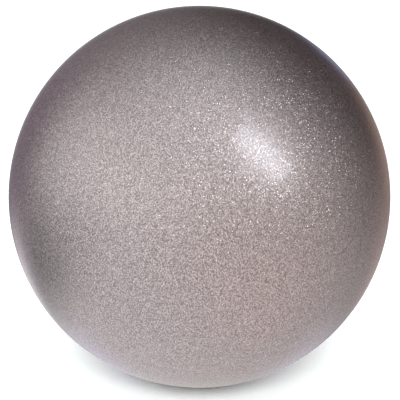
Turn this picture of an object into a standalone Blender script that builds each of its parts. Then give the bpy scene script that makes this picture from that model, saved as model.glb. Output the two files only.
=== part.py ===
# A hollow gymnastics ball at rest on the floor, with its inflation valve at the back.
# Metres, +Z up. The origin is on the floor under the centre of the ball.

import math

import bmesh
import bpy
from mathutils import Vector

# The ball
BALL_RADIUS = 0.095
WALL = 0.00305
REST_DEPTH = 0.0005  # its own weight presses the resting ball this flat
GAP = 0.0003  # left between pieces that touch or are bonded
OUTER_SEGMENTS = 72
INNER_SEGMENTS = 60
TURNED_STEPS = 32

# The valve, measured from its axis and from the ball's outer surface
RECESS_RADIUS = 0.0049
RECESS_DEPTH = 0.0013
LIP = 0.0004
NECK_RADIUS = 0.0034
FLANGE_RADIUS = 0.015
FLANGE_RIM = 0.0008
FLANGE_ROOT = 0.0018
BARREL_TOP_RADIUS = 0.0054
BARREL_END_RADIUS = 0.0050
BARREL_END = -0.0160
SOCKET_MOUTH_RADIUS = 0.0024
SOCKET_RADIUS = 0.0034
SOCKET_TOP = -0.0052
SOCKET_BOTTOM = -0.0134
SOCKET_SLOPE = 0.0008
OUTLET_RADIUS = 0.0020
CORE_END = -0.0172
CHANNEL_RADIUS = 0.00125
CHANNEL_END = -0.0119
CHANNEL_TIP = -0.0128
LEAD_IN = 0.00035
HEAD_THICKNESS = 0.0010
PIN_RADIUS = 0.0008
PIN_END = -0.0115
BEAD_HEIGHT = 0.00015
BEAD_WIDTH = 0.0009
BEAD_DEPTHS = (-0.0042, -0.0075)

CENTRE_HEIGHT = BALL_RADIUS - REST_DEPTH
SHARP_ANGLE = math.radians(35)


def clear_scene():
    for obj in list(bpy.data.objects):
        bpy.data.objects.remove(obj)


def add_collection(name):
    collection = bpy.data.collections.new(name)
    bpy.context.scene.collection.children.link(collection)
    return collection


def make_material(name, colour, roughness, metallic):
    material = bpy.data.materials.new(name)
    material.use_nodes = True
    material.diffuse_color = (*colour, 1.0)
    shader = material.node_tree.nodes["Principled BSDF"]
    shader.inputs["Base Color"].default_value = (*colour, 1.0)
    shader.inputs["Roughness"].default_value = roughness
    shader.inputs["Metallic"].default_value = metallic
    return material


def add_object(name, mesh, collection, parent=None):
    obj = bpy.data.objects.new(name, mesh)
    collection.objects.link(obj)
    obj.parent = parent
    return obj


def add_empty(name, collection, location, rotation=(0, 0, 0), parent=None):
    empty = add_object(name, None, collection, parent)
    empty.empty_display_size = BALL_RADIUS / 4
    empty.location = location
    empty.rotation_euler = rotation
    return empty


def hide_cutter(obj):
    obj.hide_render = True
    obj.display_type = "WIRE"


def sphere_cap_height(radius, sphere_radius):
    """Height of a sphere about the ball's centre, at this distance from the valve's axis."""
    return math.sqrt(sphere_radius**2 - radius**2) - BALL_RADIUS


def rounded(corners, steps=4):
    """A profile from (radius, height, rounding) corners, each rounded corner drawn as an arc."""
    points = []
    for index, (radius, height, rounding) in enumerate(corners):
        corner = Vector((radius, height))
        if not rounding:
            points.append(corner)
            continue
        before = (Vector(corners[index - 1][:2]) - corner).normalized()
        after = (Vector(corners[(index + 1) % len(corners)][:2]) - corner).normalized()
        half_angle = before.angle(after) / 2
        reach = rounding / math.tan(half_angle)
        centre = corner + (before + after).normalized() * rounding / math.sin(half_angle)
        start = corner + before * reach - centre
        turn = start.angle_signed(corner + after * reach - centre)
        for step in range(steps + 1):
            angle = -turn * step / steps
            swung = Vector(
                (
                    start.x * math.cos(angle) - start.y * math.sin(angle),
                    start.x * math.sin(angle) + start.y * math.cos(angle),
                )
            )
            points.append(centre + swung)
    return points


def inset(points, distance):
    """The same open profile moved sideways, so that a piece turned from it clears its socket."""
    moved = []
    for index, point in enumerate(points):
        ways = []
        if index > 0:
            ways.append((point - points[index - 1]).normalized())
        if index < len(points) - 1:
            ways.append((points[index + 1] - point).normalized())
        sides = [Vector((-way.y, way.x)) for way in ways]
        total = sum(sides, Vector((0, 0)))
        share = 1 + sides[0].dot(sides[1]) if len(sides) == 2 else 1
        moved.append(point + total * distance / share)
    return moved


def add_screw(obj, steps):
    screw = obj.modifiers.new("turned", "SCREW")
    screw.axis = "Z"
    screw.steps = steps
    screw.render_steps = steps
    screw.use_merge_vertices = True
    screw.merge_threshold = 0.00001
    screw.use_smooth_shade = False
    return screw


def add_turned(name, points, closed, collection, parent, steps=TURNED_STEPS):
    """A piece turned about its own Z axis. The profile runs down its outer side."""
    mesh = bpy.data.meshes.new(name)
    drawn = bmesh.new()
    corners = [drawn.verts.new((point.x, 0, point.y)) for point in points]
    for first, second in zip(corners, corners[1:]):
        drawn.edges.new((first, second))
    if closed:
        drawn.edges.new((corners[-1], corners[0]))
    drawn.to_mesh(mesh)
    drawn.free()
    obj = add_object(name, mesh, collection, parent)
    add_screw(obj, steps)
    return obj


def freeze_turned(obj, material):
    """Keeps the turned surface as the piece's mesh, so that its corners can be shaded sharp."""
    graph = bpy.context.evaluated_depsgraph_get()
    mesh = bpy.data.meshes.new_from_object(obj.evaluated_get(graph))
    mesh.name = obj.name
    obj.modifiers.clear()
    obj.data = mesh
    mesh.shade_smooth()
    mesh.set_sharp_from_angle(angle=SHARP_ANGLE)
    mesh.materials.append(material)


def add_rested_sphere(name, radius, segments, flat_height, collection, parent):
    """A ball pressed flat underneath, at flat_height under its centre."""
    mesh = bpy.data.meshes.new(name)
    drawn = bmesh.new()
    bmesh.ops.create_uvsphere(drawn, u_segments=segments, v_segments=segments // 2, radius=radius)
    cut = bmesh.ops.bisect_plane(
        drawn,
        geom=drawn.verts[:] + drawn.edges[:] + drawn.faces[:],
        plane_co=(0, 0, -flat_height),
        plane_no=(0, 0, -1),
        clear_outer=True,
    )
    rim = [item for item in cut["geom_cut"] if isinstance(item, bmesh.types.BMEdge)]
    for edge in rim:
        for vertex in edge.verts:
            vertex.co.z = -flat_height
    for face in drawn.faces:
        face.smooth = True
    patch = bmesh.ops.contextual_create(drawn, geom=rim)["faces"]
    for face in patch:
        face.smooth = False
    bmesh.ops.recalc_face_normals(drawn, faces=drawn.faces)
    drawn.to_mesh(mesh)
    drawn.free()
    return add_object(name, mesh, collection, parent)


def cut_away(obj, cutter):
    hide_cutter(cutter)
    boolean = obj.modifiers.new(cutter.name, "BOOLEAN")
    boolean.operation = "DIFFERENCE"
    boolean.object = cutter


def opening_profile():
    """The recess for the plug's head, and the bore that the valve's neck fills."""
    bore = NECK_RADIUS + GAP
    lip_top = sphere_cap_height(RECESS_RADIUS + LIP, BALL_RADIUS)
    above, below = 2 * WALL, -2 * WALL
    corners = [
        (0, above, 0),
        (RECESS_RADIUS + LIP, above, 0),
        (RECESS_RADIUS + LIP, lip_top, 0),
        (RECESS_RADIUS, lip_top - LIP, 0),
        (RECESS_RADIUS, -RECESS_DEPTH, LIP / 2),
        (bore, -RECESS_DEPTH, 0),
        (bore, below, 0),
        (0, below, 0),
    ]
    return rounded(corners)


def build_ball_shell(parts, cutters, centre, valve_axis):
    material = make_material("silver_glitter", (0.46, 0.39, 0.385), 0.3, 0.35)
    shell = add_rested_sphere(
        "ball_shell", BALL_RADIUS, OUTER_SEGMENTS, BALL_RADIUS - REST_DEPTH, parts, centre
    )
    shell.data.materials.append(material)
    air_radius = BALL_RADIUS - WALL
    air_space = add_rested_sphere(
        "air_space", air_radius, INNER_SEGMENTS, air_radius - REST_DEPTH, cutters, centre
    )
    opening = add_turned("valve_opening", opening_profile(), False, cutters, valve_axis, 48)
    cut_away(shell, air_space)
    cut_away(shell, opening)
    return shell


def socket_corners():
    """The seat's inside, from the neck's mouth down to the outlet."""
    return [
        (SOCKET_MOUTH_RADIUS, -RECESS_DEPTH),
        (SOCKET_MOUTH_RADIUS, SOCKET_TOP),
        (SOCKET_RADIUS, SOCKET_TOP - SOCKET_SLOPE),
        (SOCKET_RADIUS, SOCKET_BOTTOM),
        (OUTLET_RADIUS, SOCKET_BOTTOM - SOCKET_SLOPE),
        (OUTLET_RADIUS, BARREL_END),
    ]


def flange_corners():
    """The flange lies along the inside of the wall and thins towards its rim."""
    bonded = BALL_RADIUS - WALL - GAP
    spans = 4
    outer, inner = [], []
    for step in range(spans + 1):
        share = step / spans
        radius = NECK_RADIUS + share * (FLANGE_RADIUS - NECK_RADIUS)
        outer.append((radius, sphere_cap_height(radius, bonded), 0))
        radius = BARREL_TOP_RADIUS + share * (FLANGE_RADIUS - BARREL_TOP_RADIUS)
        thickness = FLANGE_ROOT + share * (FLANGE_RIM - FLANGE_ROOT)
        inner.append((radius, sphere_cap_height(radius, bonded - thickness), 0))
    rim_rounding = FLANGE_RIM * 0.45
    outer[-1] = (*outer[-1][:2], rim_rounding)
    inner[-1] = (*inner[-1][:2], rim_rounding)
    root = (*inner[0][:2], FLANGE_ROOT * 0.6)
    return outer + inner[:0:-1] + [root]


def build_valve_seat(parts, valve_axis):
    material = make_material("seat_rubber", (0.045, 0.043, 0.042), 0.7, 0.0)
    outside = [(NECK_RADIUS, -RECESS_DEPTH, 0.0002)]
    outside += flange_corners()
    outside += [(BARREL_END_RADIUS, BARREL_END, 0.0009)]
    bore = [(radius, height, 0) for radius, height in reversed(socket_corners())]
    seat = add_turned("valve_seat", rounded(outside + bore), True, parts, valve_axis)
    freeze_turned(seat, material)
    return seat


def build_valve_core(parts, valve_axis):
    """A soft insert that fills the socket. Its slit below the channel is shut at rest."""
    material = make_material("core_rubber", (0.52, 0.47, 0.40), 0.55, 0.0)
    outside = inset([Vector(corner) for corner in socket_corners()], -GAP)
    outside[-1].y = CORE_END
    channel = [
        (0, CHANNEL_TIP, 0),
        (CHANNEL_RADIUS, CHANNEL_END, 0),
        (CHANNEL_RADIUS, -RECESS_DEPTH - LEAD_IN, 0),
        (CHANNEL_RADIUS + LEAD_IN, -RECESS_DEPTH, 0),
    ]
    body = [(point.x, point.y, 0) for point in outside[:-1]]
    tail = [(outside[-1].x, CORE_END, 0.0007), (0, CORE_END, 0)]
    core = add_turned("valve_core", rounded(channel + body + tail), False, parts, valve_axis)
    freeze_turned(core, material)
    return core


def bead(depth):
    """One sealing ring on the plug's pin, as part of its profile."""
    spans = 4
    for step in range(spans + 1):
        share = step / spans
        swell = BEAD_HEIGHT * math.sin(math.pi * share)
        yield (PIN_RADIUS + swell, depth - BEAD_WIDTH * (share - 0.5), 0)


def build_valve_plug(parts, valve_axis):
    material = make_material("plug_rubber", (0.36, 0.31, 0.30), 0.45, 0.0)
    head_radius = RECESS_RADIUS - GAP
    spans = 3
    corners = []
    for step in range(spans + 1):
        radius = head_radius * step / spans
        corners.append((radius, sphere_cap_height(radius, BALL_RADIUS), 0))
    corners[-1] = (*corners[-1][:2], 0.0003)
    corners.append((head_radius, -HEAD_THICKNESS, 0.0002))
    corners.append((PIN_RADIUS, -HEAD_THICKNESS, 0.0002))
    for depth in BEAD_DEPTHS:
        corners += bead(depth)
    corners.append((PIN_RADIUS, PIN_END, PIN_RADIUS * 0.8))
    corners.append((0, PIN_END, 0))
    plug = add_turned("valve_plug", rounded(corners), False, parts, valve_axis)
    freeze_turned(plug, material)
    return plug


def main():
    clear_scene()
    parts = add_collection("rhythmic_gymnastics_ball")
    cutters = add_collection("cutters")
    centre = add_empty("ball_centre", parts, (0, 0, CENTRE_HEIGHT))
    back_pole = (0, BALL_RADIUS, 0)
    outward = (-math.pi / 2, 0, 0)
    valve_axis = add_empty("valve_axis", parts, back_pole, outward, centre)
    build_ball_shell(parts, cutters, centre, valve_axis)
    build_valve_seat(parts, valve_axis)
    build_valve_core(parts, valve_axis)
    build_valve_plug(parts, valve_axis)


main()
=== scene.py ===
import math

import bmesh
import bpy
from mathutils import Matrix, Vector


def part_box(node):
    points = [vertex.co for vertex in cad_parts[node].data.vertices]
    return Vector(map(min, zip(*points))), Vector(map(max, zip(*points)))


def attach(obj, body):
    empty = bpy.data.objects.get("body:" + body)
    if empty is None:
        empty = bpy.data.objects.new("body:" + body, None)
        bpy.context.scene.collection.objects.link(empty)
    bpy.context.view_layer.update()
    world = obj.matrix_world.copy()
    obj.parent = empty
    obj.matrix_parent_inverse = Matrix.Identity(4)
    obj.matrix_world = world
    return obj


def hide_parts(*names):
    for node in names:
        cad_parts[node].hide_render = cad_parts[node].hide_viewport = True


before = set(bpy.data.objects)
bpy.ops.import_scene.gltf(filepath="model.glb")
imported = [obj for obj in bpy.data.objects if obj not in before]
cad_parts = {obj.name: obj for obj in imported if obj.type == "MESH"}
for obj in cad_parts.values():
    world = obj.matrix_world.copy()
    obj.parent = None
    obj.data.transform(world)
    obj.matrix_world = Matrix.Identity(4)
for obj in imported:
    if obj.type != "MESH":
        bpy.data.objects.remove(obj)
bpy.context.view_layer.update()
print("frame loaded with", ", ".join(sorted(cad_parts)))

mm = 0.001
shellLow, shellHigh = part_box("ball_shell")
ballRadius = (shellHigh.x - shellLow.x) / 2
ballCentre = Vector((0, 0, shellHigh.z - ballRadius))


# One socket of a material's nodes; sums on it add Math nodes
class Wire:
    def __init__(self, nodes, socket):
        self.nodes = nodes
        self.socket = socket

    def calc(self, operation, *values):
        return self.nodes.add("ShaderNodeMath", {"operation": operation}, dict(enumerate(values)))

    def __add__(self, other):
        return self.calc("ADD", self, other)

    def __radd__(self, other):
        return self.calc("ADD", other, self)

    def __sub__(self, other):
        return self.calc("SUBTRACT", self, other)

    def __rsub__(self, other):
        return self.calc("SUBTRACT", other, self)

    def __mul__(self, other):
        return self.calc("MULTIPLY", self, other)

    def __rmul__(self, other):
        return self.calc("MULTIPLY", other, self)

    def __pow__(self, other):
        return self.calc("POWER", self, other)

    def __gt__(self, other):
        return self.calc("GREATER_THAN", self, other)

    def __lt__(self, other):
        return self.calc("LESS_THAN", self, other)

    def smooth(self, low, high):  # 0 at low, 1 at high, soft between
        ends = {"Value": self, "From Min": low, "From Max": high}
        return self.nodes.add("ShaderNodeMapRange", {"interpolation_type": "SMOOTHSTEP"}, ends)


# The nodes of one material or world; add() makes a node and gives back one output as a Wire
class Nodes:
    def __init__(self, owner):
        owner.use_nodes = True
        self.tree = owner.node_tree
        self.tree.nodes.clear()

    def add(self, kind, settings=None, inputs=None, output=0):
        node = self.tree.nodes.new(kind)
        for name, value in (settings or {}).items():
            setattr(node, name, value)
        for name, value in (inputs or {}).items():
            socket = node.inputs[name]
            if isinstance(value, Wire):
                self.tree.links.new(value.socket, socket)
            elif socket.type == "RGBA":
                socket.default_value = (*value, 1)
            else:
                socket.default_value = value
        return Wire(self, node.outputs[output] if node.outputs else None)

    def mixColours(self, factor, first, second):
        return self.add("ShaderNodeMix", {"data_type": "RGBA"}, {0: factor, 6: first, 7: second}, 2)

    def mixVectors(self, factor, first, second):
        return self.add("ShaderNodeMix", {"data_type": "VECTOR"}, {0: factor, 4: first, 5: second}, 1)

    def mixShaders(self, factor, first, second):
        return self.add("ShaderNodeMixShader", None, {0: factor, 1: first, 2: second})

    def vector(self, operation, *values, output=0, **named):
        inputs = {**dict(enumerate(values)), **named}
        return self.add("ShaderNodeVectorMath", {"operation": operation}, inputs, output)

    def blue(self, colour):
        return self.add("ShaderNodeSeparateColor", None, {"Color": colour}, "Blue")

    def place(self):
        return self.add("ShaderNodeTexCoord", output="Object")

    def ray(self, kind):
        return self.add("ShaderNodeLightPath", output=kind)

    def noise(self, size, detail, roughness=0.5):
        inputs = {"Vector": self.place(), "Scale": 1 / size, "Detail": detail, "Roughness": roughness}
        return self.add("ShaderNodeTexNoise", None, inputs)

    def cells(self, size, output="Distance"):
        return self.add("ShaderNodeTexVoronoi", None, {"Vector": self.place(), "Scale": 1 / size}, output)

    def bump(self, height, distance, strength):
        inputs = {"Height": height, "Distance": distance, "Strength": strength}
        return self.add("ShaderNodeBump", None, inputs)

    def principled(self, **sockets):
        named = {name.replace("_", " "): value for name, value in sockets.items()}
        shader = self.add("ShaderNodeBsdfPrincipled", None, named)
        self.add("ShaderNodeOutputMaterial", None, {"Surface": shader})


def newMaterial(name):
    material = bpy.data.materials.new(name)
    return material, Nodes(material)


sharpAngle = math.radians(35)  # edges that turn more than this are shaded, and rounded, as edges


def addPiece(name, bm, material):
    mesh = bpy.data.meshes.new(name)
    bm.to_mesh(mesh)
    bm.free()
    mesh.shade_smooth()
    mesh.set_sharp_from_angle(angle=sharpAngle)
    mesh.materials.append(material)
    piece = bpy.data.objects.new(name, mesh)
    bpy.context.scene.collection.objects.link(piece)
    return piece


def cutAway(bm, point, normal, **side):  # cuts everything at a plane and gives the edges of the cut
    everything = bm.verts[:] + bm.edges[:] + bm.faces[:]
    cut = bmesh.ops.bisect_plane(bm, geom=everything, plane_co=point, plane_no=normal, **side)
    return [item for item in cut["geom_cut"] if isinstance(item, bmesh.types.BMEdge)]


def cutFlat(bm, height):  # takes off what is below a height and closes the mesh there
    rim = cutAway(bm, (0, 0, height), (0, 0, 1), clear_inner=True)
    bmesh.ops.holes_fill(bm, edges=rim, sides=0)


# Glitter finish: small metal flakes in a taupe coat, each leaning its own way, under clear gloss
glitter = {
    "colour": (0.463, 0.389, 0.383),
    "metallic": 0.975,
    "roughness": 0.37,
    "flake": 0.27 * mm,  # how far apart the flakes lie
    "lean": 0.05,
    "unlike": 1.65,  # how much they differ in brightness
    "fewBright": 3,  # a higher power leaves fewer of them bright
    "hueUnlike": 0.01,
    "glint": 0.44 * mm,  # how far apart the brighter flecks lie
    "glintShare": 0.92,  # how many of their places hold one
    "glintRadius": 0.32,  # as a part of their spacing
    "glintColour": (0.95, 0.92, 0.92),
    "glintLean": 0.42,
    "glintSmoother": 0.22,  # how much less rough they are than the flakes
    "coatRoughness": 0.17,
    "coatIndex": 1.65,
}


def leaning(n, tint, amount):  # makes a lean out of a cell's colour, up to this much either way
    return n.vector("SCALE", n.vector("SUBTRACT", tint, (0.5, 0.5, 0.5)), Scale=2 * amount)


def makeGlitter():
    g = glitter
    material, n = newMaterial("glitter_skin")
    flakeTint = n.cells(g["flake"], "Color")
    glintTint = n.cells(g["glint"], "Color")
    isGlint = (n.blue(glintTint) > 1 - g["glintShare"]) * (n.cells(g["glint"]) < g["glintRadius"])
    averageFlake = 1 / (g["fewBright"] + 1)
    lift = (n.blue(flakeTint) ** g["fewBright"] - averageFlake) * g["unlike"] + 1
    tinted = n.mixColours(g["hueUnlike"], g["colour"], flakeTint)
    base = n.vector("SCALE", tinted, Scale=lift)
    surface = n.add("ShaderNodeNewGeometry", output="Normal")
    lean = n.mixVectors(isGlint, leaning(n, flakeTint, g["lean"]), leaning(n, glintTint, g["glintLean"]))
    n.principled(
        Base_Color=n.mixColours(isGlint, base, g["glintColour"]),
        Metallic=g["metallic"],
        Roughness=g["roughness"] - isGlint * g["glintSmoother"],
        Normal=n.vector("NORMALIZE", n.vector("ADD", surface, lean)),
        Coat_Weight=1.0,
        Coat_Roughness=g["coatRoughness"],
        Coat_IOR=g["coatIndex"],
    )
    return material


# Ball skin: a closed shell, with the valve's recess and bore at its back pole and a flat where it rests
skin = {
    "around": 160,
    "rings": 80,
    "wall": 3.05 * mm,
    "recessRadius": 4.9 * mm,
    "recessDepth": 1.3 * mm,
    "lip": 0.4 * mm,
    "lipSteps": 4,
    "boreRadius": 3.7 * mm,
}


def poleDepth(radius, sphereRadius):  # how far along the axis the sphere is this wide
    return math.sqrt(sphereRadius**2 - radius**2)


def openSphere(bm, radius, holeRadius, flatHeight):  # round hole at +Y, flat underneath; gives the hole's rim
    turn = Matrix.Rotation(-math.pi / 2, 4, "X")
    steps = {"u_segments": skin["around"], "v_segments": skin["rings"]}
    bmesh.ops.create_uvsphere(bm, radius=radius, matrix=turn, **steps)
    cutFlat(bm, flatHeight)
    return cutAway(bm, (0, poleDepth(holeRadius, radius), 0), (0, 1, 0), clear_outer=True)


def pullRim(bm, rim, radius, along):  # draws a round rim about the Y axis to a new radius and place
    made = bmesh.ops.extrude_edge_only(bm, edges=rim)["geom"]
    for vertex in made:
        if isinstance(vertex, bmesh.types.BMVert):
            outwards = Vector((vertex.co.x, 0, vertex.co.z)).normalized()
            vertex.co = outwards * radius + Vector((0, along, 0))
    return [edge for edge in made if isinstance(edge, bmesh.types.BMEdge) and edge.is_boundary]


def makeSkin(material):
    s = skin
    bm = bmesh.new()
    lipRadius = s["recessRadius"] + s["lip"]
    rim = openSphere(bm, ballRadius, lipRadius, -ballCentre.z)
    lipTop = poleDepth(lipRadius, ballRadius)
    for step in range(1, s["lipSteps"] + 1):
        turn = math.pi / 2 * step / s["lipSteps"]
        radius = lipRadius - s["lip"] * math.sin(turn)
        rim = pullRim(bm, rim, radius, lipTop - s["lip"] * (1 - math.cos(turn)))
    recessFloor = ballRadius - s["recessDepth"]
    rim = pullRim(bm, rim, s["recessRadius"], recessFloor)
    pullRim(bm, rim, s["boreRadius"], recessFloor)
    inner = bmesh.new()
    openSphere(inner, ballRadius - s["wall"], s["boreRadius"], s["wall"] - ballCentre.z)
    innerMesh = bpy.data.meshes.new("inner")
    inner.to_mesh(innerMesh)
    inner.free()
    bm.from_mesh(innerMesh)
    bpy.data.meshes.remove(innerMesh)
    bmesh.ops.bridge_loops(bm, edges=[edge for edge in bm.edges if edge.is_boundary])
    bmesh.ops.recalc_face_normals(bm, faces=bm.faces)
    bmesh.ops.translate(bm, vec=ballCentre, verts=bm.verts)
    return addPiece("ball_skin", bm, material)


ballSkin = makeSkin(makeGlitter())
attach(ballSkin, "ball")
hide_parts("ball_shell")
print("ball skin made:", len(ballSkin.data.polygons), "faces")


# Plug: a thin head that carries on the ball's curve over the recess, and a pin with two sealing beads
plug = {
    "around": 96,
    "steps": 8,  # along the head's curve and along each bead
    "headRadius": 4.6 * mm,
    "headThickness": 1.0 * mm,
    "pinRadius": 0.8 * mm,
    "pinLength": 11.5 * mm,
    "beadDepths": (4.2 * mm, 7.5 * mm),
    "beadWidth": 0.9 * mm,
    "beadHeight": 0.15 * mm,
    "rounding": 0.2 * mm,
    "roundingSteps": 4,
    "gateRadius": 0.55 * mm,  # the mark where the rubber ran into its mould
    "gateLevel": 0.6,  # how much of its radius is level
    "gateDepth": 0.08 * mm,
    "colour": (0.36, 0.31, 0.30),
    "roughness": 0.45,
    "cloudSize": 1.6 * mm,
    "cloudBand": (0.35, 0.7),
    "cloudShade": 0.82,
    "cloudRougher": 0.2,
    "grainSize": 0.12 * mm,
    "bumpDepth": 0.02 * mm,
    "bumpStrength": 0.6,
    "bumpCloud": 0.6,
}


def turned(profile, around):  # spins (radius, along) points about the valve's axis
    bm = bmesh.new()
    line = [bm.verts.new((radius, along, ballCentre.z)) for radius, along in profile]
    edges = [bm.edges.new(ends) for ends in zip(line, line[1:])]
    whole = {"cent": ballCentre, "axis": (0, 1, 0), "angle": 2 * math.pi, "use_merge": True}
    bmesh.ops.spin(bm, geom=line + edges, steps=around, **whole)
    bmesh.ops.remove_doubles(bm, verts=bm.verts, dist=0.001 * mm)
    bmesh.ops.recalc_face_normals(bm, faces=bm.faces)
    return bm


def roundEdges(bm, distance, steps):
    sharp = [edge for edge in bm.edges if edge.is_manifold and edge.calc_face_angle() > sharpAngle]
    shape = {"affect": "EDGES", "segments": steps, "profile": 0.5, "material": -1}
    bmesh.ops.bevel(bm, geom=sharp, offset=distance, **shape)


def makePlug(material):
    p = plug
    parts = [step / p["steps"] for step in range(p["steps"] + 1)]
    gateFloor = ballRadius - p["gateDepth"]
    headUnder = ballRadius - p["headThickness"]
    profile = [(0, gateFloor), (p["gateRadius"] * p["gateLevel"], gateFloor)]
    for part in parts:
        radius = p["gateRadius"] + (p["headRadius"] - p["gateRadius"]) * part
        profile.append((radius, poleDepth(radius, ballRadius)))
    profile += [(p["headRadius"], headUnder), (p["pinRadius"], headUnder)]
    for depth in p["beadDepths"]:
        for part in parts:
            swell = p["beadHeight"] * math.sin(math.pi * part)
            along = ballRadius - depth - p["beadWidth"] * (part - 0.5)
            profile.append((p["pinRadius"] + swell, along))
    tip = ballRadius - p["pinLength"]
    profile += [(p["pinRadius"], tip), (0, tip)]
    bm = turned(profile, p["around"])
    roundEdges(bm, p["rounding"], p["roundingSteps"])
    return addPiece("plug_fine", bm, material)


def makePlugRubber():
    p = plug
    material, n = newMaterial("plug_satin")
    cloud = n.noise(p["cloudSize"], detail=3, roughness=0.6)
    grain = n.noise(p["grainSize"], detail=2)
    darker = tuple(part * p["cloudShade"] for part in p["colour"])
    n.principled(
        Base_Color=n.mixColours(cloud.smooth(*p["cloudBand"]), p["colour"], darker),
        Roughness=p["roughness"] + (cloud - 0.5) * p["cloudRougher"],
        Normal=n.bump(grain + cloud * p["bumpCloud"], p["bumpDepth"], p["bumpStrength"]),
    )
    return material


plugPiece = makePlug(makePlugRubber())
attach(plugPiece, "plug")
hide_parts("valve_plug")
print("plug made:", len(plugPiece.data.polygons), "faces")


# Seat and core keep their CAD shapes and get the look of moulded rubber
rubbers = {
    "valve_seat": {"colour": (0.045, 0.043, 0.042), "bloom": (0.13, 0.125, 0.12), "roughness": 0.68},
    "valve_core": {"colour": (0.52, 0.46, 0.385), "bloom": (0.62, 0.58, 0.52), "roughness": 0.55},
}

# The grain of both, and the dusting powder left in patches and in the grain
moulded = {
    "patchSize": 1.1 * mm,
    "patchBand": (0.52, 0.72),
    "patchPowder": 0.55,
    "grainSize": 0.15 * mm,
    "grainBand": (0.6, 0.8),
    "grainPowder": 0.2,
    "powderRougher": 0.25,
    "bumpDepth": 0.03 * mm,
    "bumpStrength": 0.7,
}


def makeRubber(name, colour, bloom, roughness):
    d = moulded
    material, n = newMaterial(name + "_moulded")
    patches = n.noise(d["patchSize"], detail=4, roughness=0.6)
    grain = n.noise(d["grainSize"], detail=2)
    powder = patches.smooth(*d["patchBand"]) * d["patchPowder"]
    powder += grain.smooth(*d["grainBand"]) * d["grainPowder"]
    n.principled(
        Base_Color=n.mixColours(powder, colour, bloom),
        Roughness=roughness + powder * d["powderRougher"],
        Normal=n.bump(grain + patches, d["bumpDepth"], d["bumpStrength"]),
    )
    return material


for nodeName, look in rubbers.items():
    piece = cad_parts[nodeName]
    material = makeRubber(nodeName, **look)
    for slot in piece.material_slots:
        slot.material = material
print("seat and core finished")


# Camera: the ball's outline is a circle about this pixel of a 400 pixel picture
view = {
    "picture": 400,
    "circleX": 199.5,
    "circleY": 196.65,
    "circleRadius": 191.08,
    "elevation": 12.5,
    "lens": 85,
    "sensor": 36,
}


def makeCamera():
    v = view
    data = bpy.data.cameras.new("camera")
    data.lens = v["lens"]
    data.sensor_width = v["sensor"]
    pixelsPerTangent = v["picture"] * v["lens"] / v["sensor"]
    halfAngle = math.atan(v["circleRadius"] / pixelsPerTangent)
    distance = ballRadius / math.sin(halfAngle)
    data.shift_x = (v["picture"] / 2 - v["circleX"]) / v["picture"]
    data.shift_y = (v["circleY"] - v["picture"] / 2) / v["picture"]
    camera = bpy.data.objects.new("camera", data)
    tilt = math.radians(v["elevation"])
    camera.location = ballCentre + Vector((0, -math.cos(tilt), math.sin(tilt))) * distance
    camera.rotation_euler = (math.pi / 2 - tilt, 0, 0)
    bpy.context.scene.collection.objects.link(camera)
    bpy.context.scene.camera = camera


makeCamera()
print("camera made")


# White floor, which the camera sees pure white but for the shadow, and which the skin mirrors as a glow, with
# a painted shadow and a warmer painted tint near the ball's foot
floor = {
    "size": 40.0,
    "colour": (0.80, 0.838, 0.835),
    "seen": 1.56,  # how much brighter the camera finds it
    "mirrored": 0.78,  # how bright the skin mirrors it
    # these set the painted shadow in the mirrored glow: how much is left at the ball's foot, how far it
    # reaches, and its warmer painted tint
    "glowLeftInPaintedShadow": 0.85,  # how much of that is left at the ball's foot
    "paintedShadowReach": 90 * mm,
    "paintedShadowTint": (1.03, 0.985, 0.96),
    "openTint": (1.0, 0.985, 1.01),
}


def makeWorld():
    world = bpy.data.worlds.new("studio")
    bpy.context.scene.world = world
    n = Nodes(world)
    light = n.add("ShaderNodeBackground", None, {"Color": (1, 1, 1), "Strength": 1.0})
    n.add("ShaderNodeOutputWorld", None, {"Surface": light})


def makeFloor():
    f = floor
    bm = bmesh.new()
    bmesh.ops.create_grid(bm, x_segments=1, y_segments=1, size=f["size"] / 2)
    material, n = newMaterial("white_floor")
    bright = tuple(part * f["seen"] for part in f["colour"])
    colour = n.mixColours(n.ray("Is Camera Ray"), f["colour"], bright)
    matt = n.add("ShaderNodeBsdfDiffuse", None, {"Color": colour})
    # painted shadow and painted warm tint: the mirrored glow is dimmer and warmer near the ball's foot
    outOfPaintedShadow = n.vector("LENGTH", n.place(), output="Value").smooth(0, f["paintedShadowReach"])
    strength = (outOfPaintedShadow * (1 - f["glowLeftInPaintedShadow"]) + f["glowLeftInPaintedShadow"]) * f["mirrored"]
    tint = n.mixColours(outOfPaintedShadow, f["paintedShadowTint"], f["openTint"])
    glow = n.add("ShaderNodeEmission", None, {"Color": tint, "Strength": strength})
    mirrored = n.ray("Is Glossy Ray")
    either = mirrored.calc("MAXIMUM", mirrored, n.ray("Is Transmission Ray"))
    beforeMatt = n.ray("Diffuse Depth") < 1  # so that the glow lights no matt surface
    shader = n.mixShaders(either * beforeMatt, matt, glow)
    n.add("ShaderNodeOutputMaterial", None, {"Surface": shader})
    addPiece("studio_floor", bm, material)


# Dark net around the ball, which only the gloss mirrors: a painted dark reflection, thickest behind it on the
# right and a little above
net = {
    "around": 96,
    "rings": 48,
    "radius": 1.6,
    "bottom": 0.5 * mm,  # its height over the floor
    "towards": (0.511, 0.776, 0.369),
    "thickest": 0.93,  # cosines from that place, where it is thickest and where it ends
    "clear": -0.83,
    "colour": (0.048, 0.036, 0.038),
}
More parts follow.
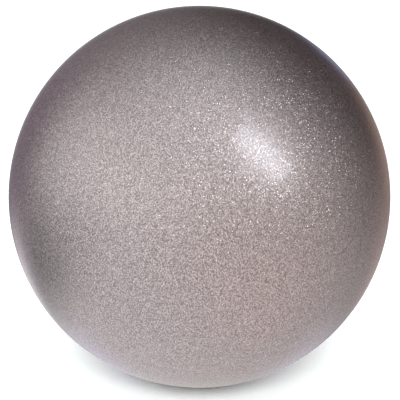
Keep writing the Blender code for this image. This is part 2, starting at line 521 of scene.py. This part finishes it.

# Soft round cards on the net, which only the gloss mirrors: painted reflections of bright and dark places;
# where they hang, how wide and how dense
cards = [
    {"towards": (-0.988, 0.004, -0.155), "width": 45, "cover": 0.97, "colour": (0.0, 0.002, 0.004)},
    {"towards": (0.673, 0.579, -0.460), "width": 38, "cover": 0.33, "colour": (1.11, 0.84, 0.77)},
    {"towards": (-0.735, 0.661, 0.151), "width": 61, "cover": 0.95, "colour": (0.175, 0.128, 0.168)},
    {"towards": (-0.69, 0.52, -0.50), "width": 26, "cover": 0.8, "colour": (1.04, 0.98, 1.05)},
    {"towards": (-0.52, -0.12, -0.845), "width": 22, "cover": 0.38, "colour": (0.88, 0.83, 1.12)},
    {"towards": (0.52, -0.12, -0.845), "width": 24, "cover": 0.26, "colour": (1.1, 1.02, 1.3)},
    {"towards": (0.386, -0.766, -0.514), "width": 30, "cover": 0.25, "colour": (1.02, 0.82, 0.79)},
    {"towards": (0.577, -0.815, -0.042), "width": 85, "cover": 0.67, "colour": (0.702, 0.626, 0.597)},
    {"towards": (-0.965, -0.167, 0.201), "width": 44, "cover": 0.79, "colour": (0.99, 1.01, 1.02)},
    {"towards": (0.532, 0.846, -0.022), "width": 22, "cover": 0.37, "colour": (0.80, 0.53, 0.44)},
    {"towards": (0.364, 0.912, 0.188), "width": 9, "cover": 0.40, "colour": (0.51, 0.55, 1.04)},
    {"towards": (0.066, -0.384, 0.921), "width": 50, "cover": 0.37, "colour": (1.41, 1.46, 1.58)},
    {"towards": (0.0, 0.976, -0.216), "width": 36, "cover": 0.8, "colour": (1.1, 1.09, 1.10)},
]


def makeNet():
    t = net
    bm = bmesh.new()
    bmesh.ops.create_uvsphere(bm, u_segments=t["around"], v_segments=t["rings"], radius=t["radius"])
    bmesh.ops.translate(bm, vec=ballCentre, verts=bm.verts)
    cutFlat(bm, t["bottom"])
    material, n = newMaterial("painted_reflection_net")
    outwards = n.vector("NORMALIZE", n.vector("SUBTRACT", n.place(), tuple(ballCentre)))
    nearness = n.vector("DOT_PRODUCT", outwards, t["towards"], output="Value")
    ends = {"Value": nearness, "From Min": t["clear"], "From Max": t["thickest"]}
    thickness = n.add("ShaderNodeMapRange", None, ends)
    # painted dark reflection: a dim glow that only the gloss sees
    dark = n.add("ShaderNodeEmission", None, {"Color": t["colour"]})
    shader = n.mixShaders(thickness, n.add("ShaderNodeBsdfTransparent"), dark)
    for card in cards:
        nearness = n.vector("DOT_PRODUCT", outwards, card["towards"], output="Value")
        away = nearness.calc("ARCCOSINE", nearness)
        cover = away.smooth(math.radians(card["width"]), 0) * card["cover"]
        # each card is a painted reflection, a glow that only the gloss sees
        paintedGlow = n.add("ShaderNodeEmission", None, {"Color": card["colour"]})
        shader = n.mixShaders(cover, shader, paintedGlow)
    n.add("ShaderNodeOutputMaterial", None, {"Surface": shader})
    piece = addPiece("studio_net", bm, material)
    piece.visible_camera = False
    piece.visible_diffuse = False
    piece.visible_transmission = False
    piece.visible_shadow = False


# The key lamp only shows as a highlight; the fill lamp only lights matt surfaces and throws the shadow
lamps = {
    "key": {
        "azimuth": 40.4,
        "elevation": 32.0,
        "distance": 0.9,
        "width": 0.51,
        "height": 0.22,
        "roll": -56,
        "watts": 0.96,
        "colour": (0.82, 0.92, 1.0),
    },
    "fill": {
        "azimuth": 0,
        "elevation": 28.0,
        "distance": 1.5,
        "width": 0.45,
        "height": 0.45,
        "roll": 0,
        "watts": 15.0,
        "colour": (1, 1, 1),
    },
}


def makeLamp(name, azimuth, elevation, distance, width, height, roll, watts, colour):
    data = bpy.data.lights.new(name, "AREA")
    data.shape = "RECTANGLE"
    data.size = width
    data.size_y = height
    data.energy = watts
    data.color = colour
    lamp = bpy.data.objects.new(name, data)
    around, up = math.radians(azimuth), math.radians(elevation)
    out = Vector((math.sin(around) * math.cos(up), -math.cos(around) * math.cos(up), math.sin(up)))
    lamp.location = ballCentre + out * distance
    facing = out.to_track_quat("Z", "Y").to_matrix().to_4x4()
    lamp.rotation_euler = (facing @ Matrix.Rotation(math.radians(roll), 4, "Z")).to_euler()
    lamp.visible_camera = False
    lamp.visible_diffuse = name == "fill"
    lamp.visible_glossy = name == "key"
    bpy.context.scene.collection.objects.link(lamp)


makeWorld()
makeFloor()
makeNet()
for lampName, settings in lamps.items():
    makeLamp(lampName, **settings)
print("studio made")

bpy.context.scene.view_settings.view_transform = "Standard"
